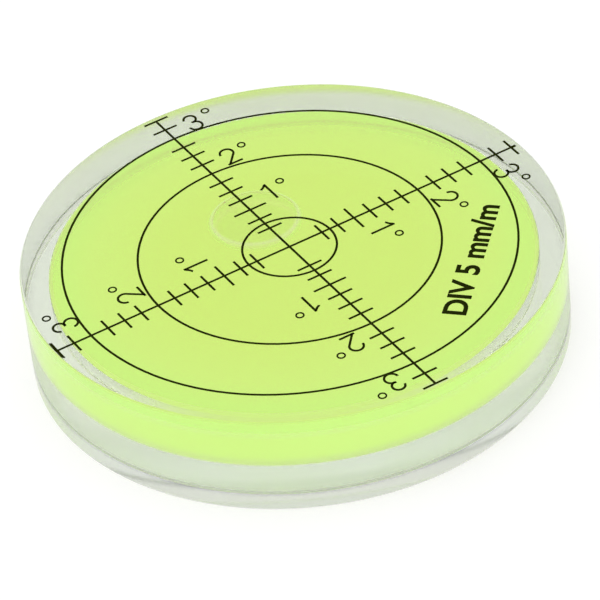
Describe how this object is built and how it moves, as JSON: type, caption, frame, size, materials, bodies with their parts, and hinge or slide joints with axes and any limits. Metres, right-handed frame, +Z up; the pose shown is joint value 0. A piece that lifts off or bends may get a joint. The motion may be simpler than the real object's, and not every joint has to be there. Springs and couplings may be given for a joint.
{
  "type": "bullseye level",
  "caption": "Round clear bullseye level: green liquid and a bubble under a domed roof in a clear disc, with a tilt scale of rings and a cross printed on top.",
  "frame": {"origin": "centre of the flat bottom face that the level stands on", "axes": "+Z up through the flat top; +X and +Y along two neighbouring arms of the printed cross"},
  "size_m": [0.06, 0.06, 0.0121],
  "materials": {
    "clear_body": "clear polished acrylic",
    "clear_base": "clear polished acrylic",
    "cement": "set clear cement, slightly cloudy",
    "green_liquid": "clear yellow-green dyed liquid that glows a little in daylight",
    "gas": "gas pocket, seen by the bright line of its rim",
    "dark_ink": "thin dark printing ink"
  },
  "bodies": {
    "root": {"housing": "clear_body", "base": "clear_base", "cement_ring": "cement", "liquid": "green_liquid", "bubble": "gas", "printed_scale": "dark_ink"}
  },
  "joints": []
}
